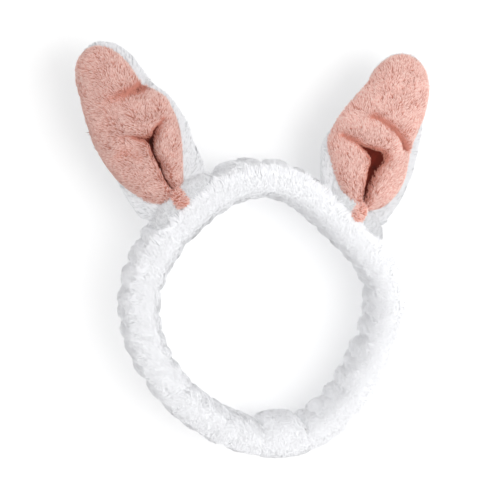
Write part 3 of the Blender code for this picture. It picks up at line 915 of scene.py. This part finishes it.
def make_gather(side):
    """The ear's raw foot gathered into the band: a soft roll along the band, nipped where the
    ear is tacked and creased either side."""
    hinge, beside, out = foot_frame(side)
    steps = np.linspace(-1, 1, 110)
    turn = -2 * math.pi * np.arange(64) / 64
    step, turn = np.meshgrid(steps, turn, indexing="ij")
    span = step * GATHER_HALF_LENGTH
    fold = 0.0
    for spot, depth, width, slant in NECK_CREASES:
        fold = fold + depth * np.exp(-(((span - spot - slant * np.cos(turn)) / width) ** 2))
    soft = ripple(np.stack([span, np.cos(turn) * 0.01, np.sin(turn) * 0.01], -1), 0.016, 41) * 0.0003
    size = np.sqrt(np.clip(1 - step**2, 0, 1)) ** 0.8
    reach = (GATHER_RADIUS - fold + soft) * size
    centre = hinge + out * GATHER_SETBACK + np.array([0, 0, GATHER_LIFT])
    sag = span**2 / (2 * BAND_RADIUS)
    rings = (centre + span[..., None] * beside + (reach * np.cos(turn) - sag)[..., None] * out
             + (reach * np.sin(turn))[..., None] * [0, 0, 1])
    name = f"ear_{side}_root_gather"
    plain = np.ones(rings.shape[:2])
    # Painted shade: the roll's skin here and its pile below are painted darker than the band
    skin = tube_object(f"{name}_fleece", rings, WHITE_FLEECE, lock_shade=NECK_PAINTED_SHADE * plain,
                       along_lock=GROUND * plain)
    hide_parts(name)
    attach(skin, "band")
    roots, ups, _ = strewn(rings, grid_normals(rings), BACK_PILE_PER_MM2)
    sizes = rng.uniform(0.7, 1.2, len(roots))
    pile = locks_object(f"{name}_pile", roots, ups, comb_band(roots), BAND_PILE_LENGTH * sizes,
                        BAND_PILE_WIDTH * rng.uniform(0.75, 1.25, len(roots)), WHITE_FLEECE, rise=0.46,
                        tone=NECK_PAINTED_SHADE, lit=unit(ups + [0, 0, 0.6]))
    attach(pile, "band")


def make_tab(side):
    """The coloured panel's end, tacked down on the band: a small soft tongue."""
    path = np.array(EARS[side]["tab"]) * MM
    t = np.linspace(0, 1, 40)
    line = np.stack([np.interp(t, np.linspace(0, 1, len(path)), path[:, k]) for k in range(3)], -1)
    for _ in range(40):
        line[1:-1] = (line[:-2] + 2 * line[1:-1] + line[2:]) / 4
    ahead = unit(np.gradient(line, axis=0))
    aside = unit(np.cross([0.0, 0.0, 1.0], ahead))
    up = np.cross(ahead, aside)
    size = np.sqrt(np.clip(1 - (2 * t - 1) ** 6, 0, 1)) * (0.80 + 0.20 * smooth_step(t, 0, 0.6))
    turn = (-2 * math.pi * np.arange(32) / 32)[None, :, None]
    local = line[:, None] + size[:, None, None] * (
        TAB_HALF_WIDTH * np.cos(turn) * aside[:, None] + TAB_HALF_DEPTH * np.sin(turn) * up[:, None])
    rings = placed(side, local)
    name = f"ear_{side}_tab"
    plain = np.full(rings.shape[:2], GROUND)
    skin = tube_object(f"{name}_fleece", rings, PINK_FLEECE, lock_shade=plain / GROUND, along_lock=plain)
    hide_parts(name)
    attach(skin, "band")
    roots, ups, _ = strewn(rings, grid_normals(rings), FRONT_PILE_PER_MM2)
    _, heading, _, _ = ear_frame(side)
    sizes = rng.uniform(0.6, 1.1, len(roots))
    ways = comb_ear(side, roots) - heading
    # Painted light: the tab's pile is painted lighter than its ear's front
    pile = locks_object(f"{name}_pile", roots, ups, ways, EAR_PILE_LENGTH * sizes,
                        EAR_PILE_WIDTH * rng.uniform(0.75, 1.25, len(roots)), PINK_FLEECE,
                        tone=1.1 * FRONT_PAINTED_LIGHT[side], lit=unit(ups + [0, 0, 0.5]))
    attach(pile, "band")


def make_ears():
    for side in EARS:
        for length in ("lower", "tip"):
            make_panel(side, "front", length)
            make_panel(side, "back", length)
            make_filling(side, length)
        make_seams(side)
        make_gather(side)
        make_tab(side)


# ---------------------------------------------------------------- CAD pieces that stay


def dress_cad():
    for name, node in frame["nodes"].items():
        finish = ELASTIC if name.startswith("elastic_loop") else THREAD
        if "filling" in name:
            finish = FIBREFILL
        if "gather" in name or "sleeve" in name or "nape_join" in name:
            finish = WHITE_FLEECE
        if "tab" in name:
            finish = PINK_FLEECE
        node.data.materials.clear()
        node.data.materials.append(finish)


# ---------------------------------------------------------------- studio

SKY_STRENGTH = 0.87
LAMP_SIZE = 1.2
LAMP_ENERGY = 4.8
LAMP_PLACE = (0.66, 0.05, 1.05)
LAMP_AIM = (0.0, 0.04, 0.03)
FLOOR_REACH = 3.0
FLOOR_GLOW = 0.07  # keeps the floor white, so that only contact shade shows
SENSOR_WIDTH = 36.0
LENS_WIDTHS = 1370 / 500  # focal length, in widths of the sensor
CAMERA_BACK = (-0.243, 0.174, 0.954)
CAMERA_AIM = (-0.0152, 0.0478, 0.0466)
CAMERA_DISTANCE = 0.932


def make_studio():
    world = bpy.data.worlds.new("studio")
    bpy.context.scene.world = world
    world.use_nodes = True
    world.node_tree.nodes["Background"].inputs["Color"].default_value = colour("#FFFFFF")
    world.node_tree.nodes["Background"].inputs["Strength"].default_value = SKY_STRENGTH
    lamp = bpy.data.lights.new("softbox", "AREA")
    lamp.shape = "DISK"
    lamp.size = LAMP_SIZE
    lamp.energy = LAMP_ENERGY
    light = bpy.data.objects.new("softbox", lamp)
    light.location = LAMP_PLACE
    aim(light, LAMP_AIM)
    bpy.context.scene.collection.objects.link(light)
    mesh = bpy.data.meshes.new("floor")
    reach = FLOOR_REACH
    mesh.from_pydata([(-reach, -reach, 0), (reach, -reach, 0), (reach, reach, 0), (-reach, reach, 0)],
                     [], [(0, 1, 2, 3)])
    made, _, shader = blank("paper_sweep_matt")
    shader.inputs["Base Color"].default_value = colour("#FFFFFF")
    shader.inputs["Emission Color"].default_value = colour("#FFFFFF")
    shader.inputs["Emission Strength"].default_value = FLOOR_GLOW
    shader.inputs["Roughness"].default_value = 1.0
    shader.inputs["Specular IOR Level"].default_value = 0.0
    mesh.materials.append(made)
    floor = bpy.data.objects.new("floor", mesh)
    bpy.context.scene.collection.objects.link(floor)
    bpy.context.scene.view_settings.view_transform = "Standard"


def aim(obj, target):
    """Turns an object's -Z towards a point, with its +Y as far up as that allows."""
    way = Vector(target) - obj.location
    obj.rotation_euler = way.to_track_quat("-Z", "Y").to_euler()


def make_camera():
    """Nearly overhead and a little to the left and above, as the piece is laid out."""
    back = unit(np.array(CAMERA_BACK))
    data = bpy.data.cameras.new("camera")
    data.sensor_width = SENSOR_WIDTH
    data.lens = SENSOR_WIDTH * LENS_WIDTHS
    data.clip_start = 0.05
    camera = bpy.data.objects.new("camera", data)
    right = unit(np.cross([0.0, 1.0, 0.0], back))
    up = np.cross(back, right)
    axes = np.eye(4)
    axes[:3, 0], axes[:3, 1], axes[:3, 2] = right, up, back
    axes[:3, 3] = np.array(CAMERA_AIM) + CAMERA_DISTANCE * back
    camera.matrix_world = Matrix(axes.tolist())
    bpy.context.scene.collection.objects.link(camera)
    bpy.context.scene.camera = camera


make_camera()
make_studio()
dress_cad()
make_band()
make_ears()
